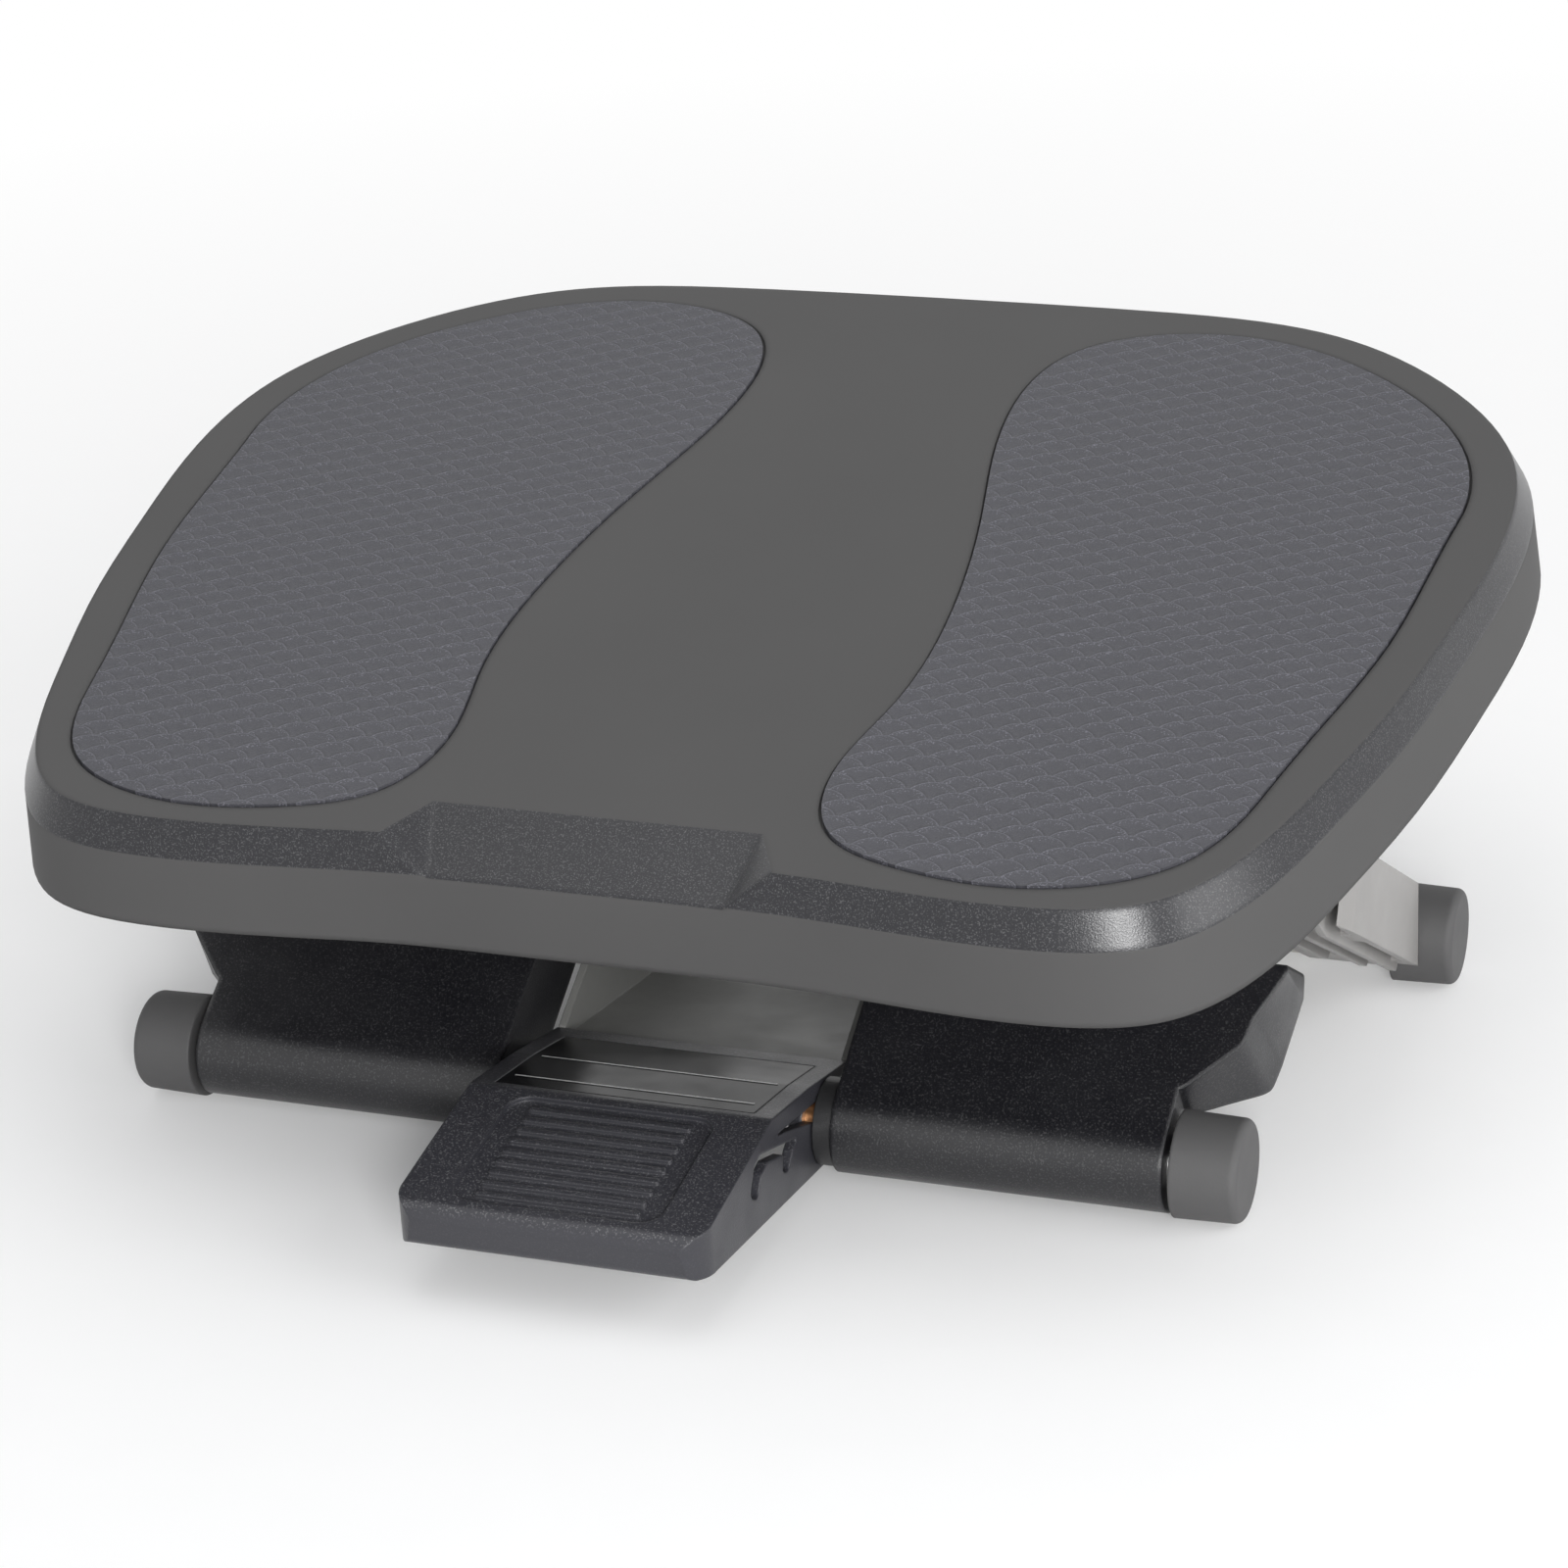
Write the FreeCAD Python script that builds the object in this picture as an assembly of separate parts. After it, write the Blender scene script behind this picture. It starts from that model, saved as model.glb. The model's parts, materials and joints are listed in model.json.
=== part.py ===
import FreeCAD, Part
import math
import os
from FreeCAD import Placement, Rotation, Vector

# Tilting under desk footrest: a deck with two foot mats on a scissor stand, with a height pedal.
# Lengths are millimetres. While modelling, Y=0 is the front foot axis, +Y points to the back,
# Z=0 is the floor and X=0 is the plane of symmetry. At the end the model moves along Y, so that
# the origin lies under the middle of its bounding box.

# Feet and scissor
foot_radius = 16.0
foot_cap_length = 20.2
foot_cap_wall = 3.0
foot_cap_taper = 0.5
foot_cap_round = 2.5
front_foot_reach = 178.0
rear_foot_reach = 206.4
axle_gap = 167.0
leg_incline = 31.0
arm_reach = 85.0
axle_tube_radius = 8.0
axle_tube_wall = 1.5
cap_groove = 2.2

# Front leg moulding
front_leg_radius = 14.9
front_leg_inset = 6.4
leg_wall = 3.0
leg_rib = 2.4
front_cell_count = 4
wing_end_run = 62.6
wing_corner_run = 37.5
wing_cap_gap = 3.8
waist_run = 16.5
wing_top_x = (171.0, 172.5, 179.5)
wing_top_run = (33.5, 43.0, 60.0)
wing_low_x = (175.5, 177.0, 178.5)
wing_low_run = (34.0, 46.0, 70.0)
wing_corner = 5.0
front_arm_gap = 10.0
front_arm_width = 26.0
front_arm_half_depth = 9.8
arm_pocket = 7.0
arm_flange = 3.2

# Rear leg moulding
rear_wall_lap = 9.8
rear_leg_width = 38.0
rear_leg_top = 13.4
rear_leg_under = 11.6
rear_rib_drop = 2.6
rear_tip_step = 14.0
rear_tip_half_depth = 8.6
rear_rib_step = (27.0, 17.0, 9.0)
rear_rib_run = (33.0, 20.0, 12.0)
rear_boss_run = 10.0

# Pins, rods and running clearances
pivot_pin_radius = 6.0
pivot_pin_head = 8.5
rod_radius = 4.0
roller_radius = 5.6
tilt_axle_radius = 5.0
run_clear = 0.05
slot_clear = 0.3
face_gap = 0.4

# Cradle between the two leg tops
rail_gap = 6.0
rail_width = 12.0
rail_half_depth = 9.4
rail_end = 10.0
rail_web = 3.0
cross_bar_width = 16.0
cross_bar_offset = 27.0
lift_range = 14.0

# Deck
deck_pitch = 8.25
deck_front_y = -77.3
deck_front_z = 126.7
deck_outline_points = ((0, 9.6), (70, 8.3), (135, 4.6), (171, 14), (190, 40), (203, 81),
                       (214, 128), (221.5, 180), (226, 238), (219, 284), (190, 330),
                       (141, 365), (76, 375), (0, 376))
chamfer_in = 4.8
chamfer_down = 10.7
rim_height = 23.3
rim_flare = 2.0
deck_wall = 3.2
deck_rib = 2.0
deck_rib_depth = 9.0
cross_rib_runs = (60.0, 250.0, 310.0)
cross_rib_reach = 230
long_rib_x = (50.0, 150.0)
long_rib_front = 210
long_rib_rear = 390
mat_points = ((206, 240), (196.5, 290), (160, 333), (105, 355.5), (58, 339), (46.5, 286),
              (57.5, 222), (66.5, 157), (65, 103), (59.5, 66), (70, 33), (95, 21), (135, 18.7),
              (168, 35), (186.5, 88), (200.5, 160))
mat_recess = 1.6
mat_proud = 0.5
mat_groove = 0.9
notch_front_half = 66.0
notch_rear_half = 50.5
notch_floor_half = 45.0
notch_run = 32.0
notch_drop = 11.6

# Tilt bearings under the deck
bearing_inset = 30.0
bearing_width = 22.0
bearing_half_depth = 11.0
bearing_flange = 16.0
flange_thick = 4.0
screw_radius = 2.2
screw_head_radius = 4.0
screw_head_height = 2.4
washer_thick = 1.6

# Pedal
pedal_half_width = 47.6
pedal_wall = 3.0
pedal_top_wall = 2.8
pedal_front_y = -106.0
pedal_front_low_z = 18.6
pedal_front_top_z = 31.4
pedal_crest_y = -44.0
pedal_crest_z = 39.3
pedal_bend_y = -12.0
pedal_bend_z = 33.2
pedal_rear_y = 22.3
pedal_rear_z = 24.8
pedal_corner = 11.0
side_gap_rear_y = 25.3
side_gap_roof = ((-46.0, 33.6), (-2.0, 25.0), (11.0, 23.1), (side_gap_rear_y, 22.3))
side_gap_floor = ((side_gap_rear_y, 4.0), (14.5, 4.0), (12.5, 11.5), (2.5, 15.6), (-33.0, 29.4))
side_gap_radii = (0.4, 5, 5, 0, 0, 4, 4, 4, 6)
hook_track_outline = ((-65.2, 24.6), (-59.2, 20.8), (-54.5, 27.0), (-49.5, 28.2), (-36.3, 23.6),
                      (-38.2, 18.6), (-33.4, 16.3), (-28.6, 21.0), (-24.0, 23.0), (-34.0, 26.3),
                      (-55.5, 33.6), (-60.4, 32.4))
hook_track_radii = (2.5, 2.5, 3, 3, 1, 2, 2, 3, 0.8, 4, 2.5, 2.5)
tread_margin = 15.2
tread_front_y = -99.0
tread_rear_y = -47.0
tread_depth = 1.6
tread_ribs = 9
tread_rib_height = 1.0
label_margin = 6.6
label_front_y = -41.0
label_rear_y = 12.0
label_thick = 0.8
bush_radius = 10.5
hub_radius = 13.4
hub_depth = 7.1
collar_radius = 13.4
spring_wire = 1.0
spring_turns = 5
spring_pitch = 2.4

# Latch tray behind the pedal
tray_wall = 2.4
tray_floor = 2.0
tray_tongue_y = 13.0
tray_level_y = 94.0
tray_level_z = 9.0
tray_side_rise_y = 52.0
tray_side_top = 41.0
tray_rear_y = 187.0
tray_rear_z = 15.0
rack_teeth = 4
rivet_radius = 1.8
rivet_head_radius = 3.4
rivet_head_height = 1.4
rivet_x = 24.0
spring_rod_y = -10.5
spring_rod_z = 25.4
spring_rod_radius = 2.2
lug_x = 33.0
lug_width = 5.0

# Derived places
incline = math.radians(leg_incline)
cos_i = math.cos(incline)
sin_i = math.sin(incline)
half_span = axle_gap / 2
cross_run = half_span / cos_i
top_run = cross_run + arm_reach
axle_z = foot_radius
cross_y = half_span
cross_z = axle_z + cross_run * sin_i
top_z = axle_z + top_run * sin_i
hinge_y = top_run * cos_i
slide_y = axle_gap - top_run * cos_i
front_cap_x = front_foot_reach - foot_cap_length
rear_cap_x = rear_foot_reach - foot_cap_length
front_leg_outer_x = front_cap_x - cap_groove
rear_leg_outer_x = rear_cap_x + rear_wall_lap
rear_leg_inner_x = rear_leg_outer_x - rear_leg_width
rear_tip_x = rear_leg_outer_x - rear_tip_step
rear_rib_x = [rear_leg_outer_x - step for step in rear_rib_step]
arm_outer_x = rear_leg_inner_x - front_arm_gap
front_arm_inner_x = arm_outer_x - front_arm_width
rail_outer_x = front_arm_inner_x - rail_gap
rail_inner_x = rail_outer_x - rail_width
bearing_x = rail_inner_x - bearing_inset
front_leg_inner_x = pedal_half_width + front_leg_inset
hub_inner_x = pedal_half_width - hub_depth
tray_half_width = pedal_half_width + 0.15
label_half = pedal_half_width - label_margin
tread_half = pedal_half_width - tread_margin
eps = 1.0


def box(x0, x1, y0, y1, z0, z1):
    return Part.makeBox(x1 - x0, y1 - y0, z1 - z0, Vector(x0, y0, z0))


def rod_x(x0, x1, y, z, radius):
    return Part.makeCylinder(radius, x1 - x0, Vector(x0, y, z), Vector(1, 0, 0))


def tube_x(x0, x1, y, z, radius, bore):
    return rod_x(x0, x1, y, z, radius).cut(rod_x(x0 - eps, x1 + eps, y, z, bore))


def mirror(shape):
    return shape.mirror(Vector(0, 0, 0), Vector(1, 0, 0))


def joined(shapes):
    whole = shapes[0]
    for shape in shapes[1:]:
        whole = whole.fuse(shape)
    return whole.removeSplitter()


def rounded_face(points, radii, place):
    """A flat face from corner points, each corner rounded by its own radius; place maps to 3D."""
    edges = []
    ends = []
    count = len(points)
    for i in range(count):
        before = Vector(*points[i - 1], 0)
        corner = Vector(*points[i], 0)
        after = Vector(*points[(i + 1) % count], 0)
        radius = radii[i]
        if radius <= 0:
            ends.append((corner, None, corner))
            continue
        back = (before - corner).normalize()
        ahead = (after - corner).normalize()
        half_turn = back.getAngle(ahead) / 2
        reach = radius / math.tan(half_turn)
        centre = corner + (back + ahead).normalize() * (radius / math.sin(half_turn))
        middle = centre + (corner - centre).normalize() * radius
        ends.append((corner + back * reach, middle, corner + ahead * reach))
    for i in range(count):
        start, middle, finish = ends[i]
        if middle is not None:
            edges.append(Part.Arc(place(start), place(middle), place(finish)).toShape())
        nxt = ends[(i + 1) % count][0]
        if (nxt - finish).Length > 1e-6:
            edges.append(Part.LineSegment(place(finish), place(nxt)).toShape())
    return Part.Face(Part.Wire(edges))


def side_prism(points, radii, x0, x1):
    """Corner points are (y, z); the face is drawn at x0 and pulled along X."""
    face = rounded_face(points, radii, lambda p: Vector(x0, p.x, p.y))
    return face.extrude(Vector(x1 - x0, 0, 0))


def front_leg_place(x):
    """Leg coordinates: run along the leg from the front foot, and lift square to it."""
    def place(p):
        y = p.x * cos_i - p.y * sin_i
        z = axle_z + p.x * sin_i + p.y * cos_i
        return Vector(x, y, z)
    return place


def rear_leg_place(x):
    def place(p):
        y = axle_gap - p.x * cos_i + p.y * sin_i
        z = axle_z + p.x * sin_i + p.y * cos_i
        return Vector(x, y, z)
    return place


def leg_prism(place_at, points, radii, x0, x1):
    face = rounded_face(points, radii, place_at(x0))
    return face.extrude(Vector(x1 - x0, 0, 0))


def wing_cut_run(lift):
    """Run of the front leg's end at a given lift: the end is parallel to the rear leg."""
    return wing_end_run + (front_leg_radius - lift) / math.tan(2 * incline)


def front_leg():
    r = front_leg_radius
    low_run = wing_cut_run(-r)
    bar = ((-r, -r), (low_run, -r), (wing_end_run, r), (-r, r))
    body = leg_prism(front_leg_place, bar, (r * 0.999, 1.5, 1.5, r * 0.999),
                     front_leg_inner_x, front_leg_outer_x)
    wing_side = ((waist_run - 6, r), (foot_radius + wing_cap_gap, -r * 0.2), (wing_corner_run, -r),
                 (low_run, -r), (wing_end_run, r))
    wing = leg_prism(front_leg_place, wing_side, (0, 6, 9, 1.5, 1.5),
                     front_leg_outer_x - 8, front_leg_outer_x + 40)
    wing = wing.common(wing_flank(low_run))
    arm = leg_prism(front_leg_place,
                    ((wing_end_run - 14, -front_arm_half_depth),
                     (top_run + front_arm_half_depth, -front_arm_half_depth),
                     (top_run + front_arm_half_depth, front_arm_half_depth),
                     (wing_end_run - 14, front_arm_half_depth)),
                    (0, front_arm_half_depth * 0.99, front_arm_half_depth * 0.99, 0),
                    front_arm_inner_x, arm_outer_x)
    body = joined([body, wing, arm])
    body = body.cut(leg_cells(low_run))
    body = body.cut(arm_pockets())
    body = body.cut(rod_x(front_leg_inner_x - eps, front_leg_outer_x + eps, 0, axle_z,
                          axle_tube_radius + run_clear))
    body = body.cut(rod_x(front_arm_inner_x - eps, arm_outer_x + eps, cross_y, cross_z,
                          pivot_pin_radius + run_clear))
    body = body.cut(rod_x(front_arm_inner_x - eps, arm_outer_x + eps, hinge_y, top_z,
                          rod_radius + run_clear))
    return body


def wing_flank(low_run):
    """Block between the wing's upper and lower outlines in plan, with a rounded outer corner."""
    r = front_leg_radius
    root = front_leg_outer_x - 9
    faces = []
    for lift, xs, runs, end in ((-r - eps, wing_low_x, wing_low_run, low_run + eps),
                                (r + eps, wing_top_x, wing_top_run, wing_end_run + eps)):
        corners = ((root, waist_run), (front_leg_outer_x + 1, waist_run), (xs[0], runs[0]),
                   (xs[1], runs[1]), (xs[2], runs[2]), (xs[2] - wing_corner * 0.3, end), (root, end))
        place = wing_plan_place(lift)
        faces.append(rounded_face(corners, (0, 3, 8, 12, wing_corner * 0.6, 1.5, 0), place).OuterWire)
    return Part.makeLoft(faces, True, True)


def wing_plan_place(lift):
    def place(p):
        return front_leg_place(p.x)(Vector(p.y, lift, 0))
    return place


def leg_cells(low_run):
    """Open cells under the front leg's shell, between its ribs."""
    r = front_leg_radius
    start = r + 2.5
    cells = []
    inner = front_leg_inner_x + leg_wall
    outer = front_leg_outer_x - 2.0
    pitch = (outer - inner + leg_rib) / front_cell_count
    for i in range(front_cell_count):
        x0 = inner + i * pitch
        x1 = x0 + pitch - leg_rib
        corners = ((start, -r - eps), (low_run - leg_wall * 1.6, -r - eps),
                   (wing_end_run - leg_wall * 1.1, r - leg_wall), (start + 3, r - leg_wall))
        cells.append(leg_prism(front_leg_place, corners, (0, 0, 2, 4), x0, x1))
    corners = ((wing_corner_run + 6, -r - eps), (low_run - leg_wall * 1.6, -r - eps),
               (wing_end_run - leg_wall * 1.1, r - leg_wall), (wing_corner_run + 6, r - leg_wall))
    cells.append(leg_prism(front_leg_place, corners, (0, 0, 2, 2),
                           front_leg_outer_x + 0.4, wing_top_x[0] - leg_wall))
    return joined(cells)


def arm_pockets():
    """Pockets on both faces of the front leg's arm, which leave it an I-beam with bosses."""
    lift = front_arm_half_depth - arm_flange
    spans = ((wing_cut_run(0) + 3, cross_run - rear_boss_run - 2),
             (cross_run + rear_boss_run + 2, top_run - 2 * rod_radius - 4))
    cuts = []
    for run0, run1 in spans:
        corners = ((run0, -lift), (run1, -lift), (run1, lift), (run0, lift))
        for x0 in (front_arm_inner_x - eps, arm_outer_x - arm_pocket):
            cuts.append(leg_prism(front_leg_place, corners, (3, 3, 3, 3), x0, x0 + arm_pocket + eps))
    return joined(cuts)


def rear_leg():
    top = rear_leg_top
    under = rear_leg_under
    shoulder = cross_run + 24
    tip = top_run + rear_tip_half_depth
    corners = ((-under - 0.8, -under), (shoulder, -under), (tip, -rear_tip_half_depth),
               (tip, rear_tip_half_depth), (shoulder, top), (-under - 0.8, top))
    radii = (under, 30, rear_tip_half_depth * 0.98, rear_tip_half_depth * 0.98, 30, under)
    body = leg_prism(rear_leg_place, corners, radii, rear_leg_inner_x, rear_leg_outer_x)
    ribs = []
    for x, run in zip(rear_rib_x, rear_rib_run):
        rib = ((run, -under - rear_rib_drop), (cross_run + 30, -under - rear_rib_drop),
               (cross_run + 50, -under + 1), (run, -under + 1))
        ribs.append(leg_prism(rear_leg_place, rib, (2.4, 0, 0, 0), x, x + leg_rib))
    body = joined([body] + ribs)
    body = body.cut(rear_cells())
    body = body.cut(rear_taper(shoulder, tip))
    body = body.cut(rear_foot_room())
    body = body.cut(rod_x(rear_leg_inner_x - eps, rear_leg_outer_x + eps, axle_gap, axle_z,
                          axle_tube_radius + run_clear))
    body = body.cut(rod_x(rear_leg_inner_x - eps, rear_rib_x[1], cross_y, cross_z,
                          pivot_pin_radius + run_clear))
    body = body.cut(rod_x(rear_leg_inner_x - eps, rear_leg_outer_x + eps, slide_y, top_z,
                          rod_radius + run_clear))
    return body


def rear_cells():
    """Long cells open to the underside, between the walls and ribs of the rear leg."""
    edges = [rear_leg_inner_x + leg_wall]
    for x in rear_rib_x:
        edges += [x, x + leg_rib]
    edges.append(rear_leg_outer_x - leg_wall)
    spans = ((24.0, cross_run - rear_boss_run), (cross_run + rear_boss_run, top_run - 14))
    cells = []
    for i in range(0, len(edges), 2):
        for run0, run1 in spans:
            corners = ((run0, -rear_leg_under - rear_rib_drop - eps),
                       (run1, -rear_leg_under - rear_rib_drop - eps),
                       (run1, rear_tip_half_depth - leg_wall), (run0, rear_leg_top - leg_wall))
            cells.append(leg_prism(rear_leg_place, corners, (0, 0, 2, 4), edges[i], edges[i + 1]))
    return joined(cells)


def rear_taper(shoulder, tip):
    """Wedge that narrows the outer side of the rear leg towards its top."""
    lift = rear_leg_top + 5

    def place(p):
        return rear_leg_place(p.x)(Vector(p.y, -lift, 0))
    corners = ((rear_leg_outer_x, shoulder), (rear_tip_x, tip - 18), (rear_tip_x, tip + 5),
               (rear_leg_outer_x + 6, tip + 5), (rear_leg_outer_x + 6, shoulder))
    face = rounded_face(corners, (0, 0, 0, 0, 0), place)
    return face.extrude(Vector(0, sin_i, cos_i) * (2 * lift))


def rear_foot_room():
    """Room for the rear foot cap: the outer wall ends upright, just ahead of it."""
    wall_y = axle_gap - foot_radius - face_gap
    return box(rear_cap_x - cap_groove, rear_leg_outer_x + eps, wall_y, axle_gap + 40, -5, 60)


def foot_cap(inner_x, outer_x, y):
    """Rubber foot: a cup pushed on the end of the axle tube, slightly tapered, rounded outside."""
    length = outer_x - inner_x
    taper = foot_cap_taper
    body = Part.makeCone(foot_radius, foot_radius - taper, length, Vector(inner_x, y, axle_z),
                         Vector(1, 0, 0))
    outer_edge = [e for e in body.Edges if len(e.Vertexes) == 1
                  and abs(e.Vertexes[0].X - outer_x) < 1e-3]
    body = body.makeFillet(foot_cap_round, outer_edge)
    return body.cut(rod_x(inner_x - eps, outer_x - foot_cap_wall, y, axle_z,
                          axle_tube_radius + run_clear))


def deck_place(shape):
    shape.Placement = Placement(Vector(0, deck_front_y, deck_front_z),
                                Rotation(Vector(1, 0, 0), deck_pitch))
    return shape


def both_sides(half_points):
    mirrored = [(-x, v) for x, v in reversed(half_points[1:-1])]
    return list(half_points) + mirrored


def deck_curve():
    """The deck's outline; it starts and ends in the middle of the front edge, square to it."""
    points = [Vector(x, v, 0) for x, v in both_sides(deck_outline_points)]
    curve = Part.BSplineCurve()
    ahead = Vector(1, 0, 0)
    curve.interpolate(Points=points + points[:1], InitialTangent=ahead, FinalTangent=ahead)
    return curve


def mat_curve():
    curve = Part.BSplineCurve()
    curve.interpolate(Points=[Vector(x, v, 0) for x, v in mat_points], PeriodicFlag=True)
    return curve


def inset_wire(curve, inset, lift):
    """Copy of a closed curve, drawn in by an inset along X and along the depth."""
    bounds = curve.toShape().BoundBox
    centre = bounds.Center
    shrink_x = 1 - 2 * inset / bounds.XLength
    shrink_v = 1 - 2 * inset / bounds.YLength
    poles = []
    for pole in curve.getPoles():
        poles.append(Vector(centre.x + (pole.x - centre.x) * shrink_x,
                            centre.y + (pole.y - centre.y) * shrink_v, lift))
    inner = Part.BSplineCurve()
    inner.buildFromPolesMultsKnots(poles, curve.getMultiplicities(), curve.getKnots(),
                                   curve.isPeriodic(), curve.Degree)
    return Part.Wire(inner.toShape())


def deck_stack(levels):
    """Solid through the deck outline at several levels, each given as (inset, lift)."""
    curve = deck_curve()
    wires = [inset_wire(curve, inset, lift) for inset, lift in levels]
    return Part.makeLoft(wires, True, True)


def deck_notch():
    """Heel scoop in the deck's front edge: a sloping floor between two flanks."""
    low = -notch_drop
    floor_v = 9.0

    def quad(points, lift):
        return Part.makePolygon([Vector(x, v, lift) for x, v in points + points[:1]])
    spread = (notch_front_half - notch_floor_half) * 0.5
    bottom = [(-notch_floor_half, floor_v), (notch_floor_half, floor_v),
              (notch_floor_half + spread, -20), (-notch_floor_half - spread, -20)]
    top = [(-notch_rear_half, notch_run), (notch_rear_half, notch_run),
           (notch_front_half + spread, -20), (-notch_front_half - spread, -20)]
    return Part.makeLoft([quad(bottom, low), quad(top, 0.0)], True, True).fuse(
        Part.makeLoft([quad(top, 0.0), quad(top, 3.0)], True, True))


def mat_slab(inset, low, high, side):
    face = Part.Face(inset_wire(mat_curve(), inset, low))
    slab = face.extrude(Vector(0, 0, high - low))
    return slab if side > 0 else mirror(slab)


def deck_shell():
    bottom = -chamfer_down - rim_height
    outer = deck_stack(((-rim_flare, bottom), (0, -chamfer_down), (chamfer_in, 0)))
    wall = deck_wall
    hollow = deck_stack(((wall - rim_flare, bottom - eps), (wall, -chamfer_down - 1),
                         (chamfer_in + wall, -wall)))
    shell = outer.cut(hollow)
    backing = deck_notch()
    backing.translate(Vector(0, 2, -wall))
    backing = backing.common(deck_stack(((wall - 1, -chamfer_down - 8), (wall - 1, -chamfer_down),
                                         (chamfer_in + wall - 1, -wall + 0.5))))
    shell = shell.fuse(backing)
    shell = shell.fuse(deck_ribs(bottom))
    shell = shell.cut(deck_notch())
    for side in (1, -1):
        shell = shell.cut(mat_slab(0, -mat_recess, eps, side))
    return deck_place(shell)


def deck_ribs(bottom):
    """Stiffening ribs under the deck's plate, clear of the cradle and the bearings."""
    ribs = []
    low = -deck_wall - deck_rib_depth
    high = -deck_wall + 0.5
    for v in cross_rib_runs:
        ribs.append(box(-cross_rib_reach, cross_rib_reach, v, v + deck_rib, low, high))
    for x in long_rib_x:
        rib = box(x - deck_rib / 2, x + deck_rib / 2, long_rib_front, long_rib_rear, low, high)
        ribs.append(rib)
        ribs.append(mirror(rib))
    inside = deck_stack(((deck_wall - 1, -deck_wall - deck_rib_depth - eps),
                         (chamfer_in + deck_wall - 1, -deck_wall + 0.4)))
    return joined(ribs).common(inside)


def foot_mat(side):
    return deck_place(mat_slab(mat_groove, -mat_recess, mat_proud, side))


def deck_lift(y, z):
    """Distance of a point of the stand below the deck's top, square to it."""
    pitch = math.radians(deck_pitch)
    return -(y - deck_front_y) * math.sin(pitch) + (z - deck_front_z) * math.cos(pitch)


def deck_run(y, z):
    pitch = math.radians(deck_pitch)
    return (y - deck_front_y) * math.cos(pitch) + (z - deck_front_z) * math.sin(pitch)


def tilt_bearing(side):
    """Bearing block hung from the deck's plate by a flange and two screws, round the tilt axle."""
    x0 = bearing_x - bearing_width / 2
    x1 = bearing_x + bearing_width / 2
    run = deck_run(cross_y, top_z)
    lift = deck_lift(cross_y, top_z)
    d = bearing_half_depth
    corners = ((run - d, lift - d), (run + d, lift - d), (run + d, -deck_wall), (run - d, -deck_wall))
    face = rounded_face(corners, (d * 0.99, d * 0.99, 0, 0), lambda p: Vector(x0, p.x, p.y))
    block = face.extrude(Vector(x1 - x0, 0, 0))
    flange = box(x0, x1, run - d - bearing_flange, run + d + bearing_flange,
                 -deck_wall - flange_thick, -deck_wall)
    block = joined([block, flange])
    block = block.cut(rod_x(x0 - eps, x1 + eps, run, lift, tilt_axle_radius + run_clear))
    for v in bearing_screw_runs(run):
        block = block.cut(Part.makeCylinder(screw_radius + run_clear, flange_thick + 2 * eps,
                                            Vector(bearing_x, v, -deck_wall - flange_thick - eps)))
    if side < 0:
        block = mirror(block)
    return deck_place(block)


def bearing_screw_runs(run):
    reach = bearing_half_depth + bearing_flange * 0.5
    return (run - reach, run + reach)


def bearing_screws():
    run = deck_run(cross_y, top_z)
    screws = []
    for x in (-bearing_x, bearing_x):
        for v in bearing_screw_runs(run):
            seat = -deck_wall - flange_thick
            shank = Part.makeCylinder(screw_radius, flange_thick + screw_head_height,
                                      Vector(x, v, seat - screw_head_height))
            head = Part.makeCylinder(screw_head_radius, screw_head_height,
                                     Vector(x, v, seat - screw_head_height))
            slot = box(x - screw_head_radius, x + screw_head_radius, v - 0.5, v + 0.5,
                       seat - screw_head_height - eps, seat - screw_head_height + 1)
            screws.append(joined([shank, head]).cut(slot))
    return deck_place(Part.Compound(screws))


def slide_travel():
    """Places of the slide rod, measured forward of the hinge rod, at both ends of the lift."""
    low = 2 * arm_reach * cos_i
    high = 2 * arm_reach * math.cos(math.radians(leg_incline + lift_range))
    return high, low


def cradle_frame():
    near, far = slide_travel()
    half = rail_half_depth
    front = hinge_y - far - roller_radius - rail_end
    rear = hinge_y + half
    parts = []
    for x0 in (-rail_outer_x, rail_inner_x):
        rail = side_prism(((front, top_z - half), (rear, top_z - half), (rear, top_z + half),
                           (front, top_z + half)), (4, half * 0.98, half * 0.98, 4),
                          x0, x0 + rail_width)
        parts.append(rail)
    for y in (cross_y - cross_bar_offset, cross_y + cross_bar_offset):
        parts.append(box(-rail_inner_x - eps, rail_inner_x + eps, y - cross_bar_width / 2,
                         y + cross_bar_width / 2, top_z - half, top_z - half + rail_web))
        parts.append(box(-rail_inner_x - eps, rail_inner_x + eps, y - rail_web / 2,
                         y + rail_web / 2, top_z - half, top_z + half * 0.4))
    frame = joined(parts)
    wide = rail_outer_x + eps
    slot_half = roller_radius + slot_clear
    slot = side_prism(((hinge_y - far - slot_half - 1, top_z - slot_half),
                       (hinge_y - near + slot_half + 1, top_z - slot_half),
                       (hinge_y - near + slot_half + 1, top_z + slot_half),
                       (hinge_y - far - slot_half - 1, top_z + slot_half)),
                      (slot_half * 0.98,) * 4, -wide, wide)
    frame = frame.cut(slot)
    frame = frame.cut(rod_x(-wide, wide, hinge_y, top_z, rod_radius + run_clear))
    frame = frame.cut(rod_x(-wide, wide, cross_y, top_z, tilt_axle_radius + run_clear))
    return frame


def tilt_axle():
    """Steel axle across the cradle, with a shallow head at each end outside the rails."""
    reach = rail_outer_x + face_gap
    axle = rod_x(-reach, reach, cross_y, top_z, tilt_axle_radius)
    heads = [rod_x(-reach - 2, -reach, cross_y, top_z, tilt_axle_radius + 1.5),
             rod_x(reach, reach + 2, cross_y, top_z, tilt_axle_radius + 1.5)]
    return joined([axle] + heads)


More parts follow.
